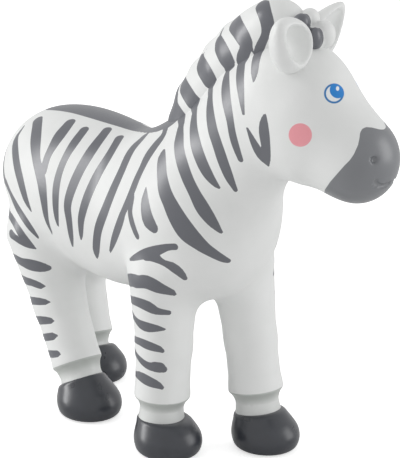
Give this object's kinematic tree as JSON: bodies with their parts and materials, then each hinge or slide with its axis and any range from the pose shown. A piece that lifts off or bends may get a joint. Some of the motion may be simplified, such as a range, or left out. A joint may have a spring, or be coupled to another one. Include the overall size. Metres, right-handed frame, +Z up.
{
  "type": "toy zebra figure",
  "caption": "Chunky moulded toy zebra in a walking stance, with a raised mane, cupped ears, its head turned to its left, and glossy hooves with flat soles.",
  "frame": {"origin": "on the ground under the middle of the figure's outline seen from above", "axes": "+X forwards along the body, from tail to nose; +Y to the animal's left; +Z up"},
  "size_m": [0.1356, 0.0406, 0.1172],
  "materials": {
    "white_body": "satin white moulded plastic, with charcoal stripes, muzzle, eyes and cheeks printed on it",
    "dark_tail": "satin charcoal paint",
    "gloss_hoof": "glossy dark grey paint"
  },
  "bodies": {
    "root": {"trunk_right_shell": "white_body", "trunk_left_shell": "white_body", "head": "white_body", "mane": "white_body", "forelock": "white_body", "right_ear": "white_body", "left_ear": "white_body", "right_front_leg": "white_body", "left_front_leg": "white_body", "right_hind_leg": "white_body", "left_hind_leg": "white_body", "tail": "dark_tail", "right_front_hoof": "gloss_hoof", "left_front_hoof": "gloss_hoof", "right_hind_hoof": "gloss_hoof", "left_hind_hoof": "gloss_hoof"}
  },
  "joints": []
}
